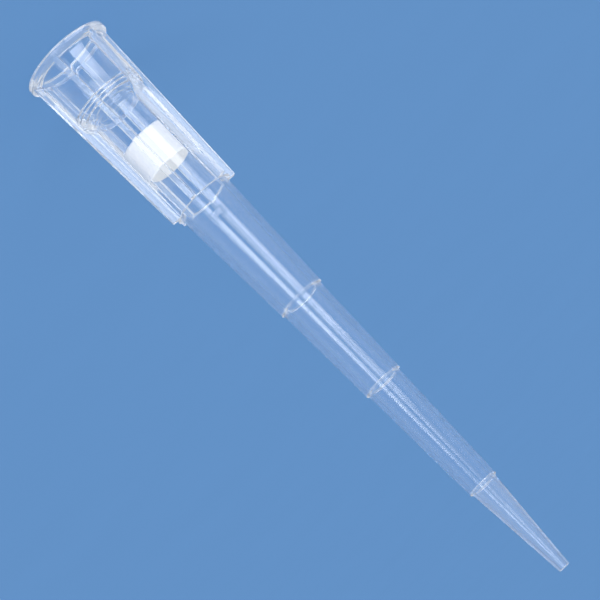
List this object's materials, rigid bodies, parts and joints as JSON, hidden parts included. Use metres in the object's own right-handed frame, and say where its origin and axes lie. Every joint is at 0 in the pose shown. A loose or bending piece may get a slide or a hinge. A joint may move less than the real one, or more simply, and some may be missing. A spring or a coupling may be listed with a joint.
{
  "type": "pipette tip",
  "caption": "Clear tapered tip that presses onto a pipette's cone to draw up small volumes of liquid, with outside ribs, graduation shoulders and a porous filter plug.",
  "frame": {"origin": "centre of the mouth rim, on the surface that the tip stands on", "axes": "+Z along the bore from the mouth to the point, +X through the middle of a rib"},
  "size_m": [0.008, 0.008, 0.0574],
  "materials": {
    "clear_plastic": "clear, as moulded, glossy",
    "porous_plastic": "sintered white granules, matt"
  },
  "bodies": {
    "root": {"tip_body": "clear_plastic", "filter_plug": "porous_plastic"}
  },
  "joints": []
}
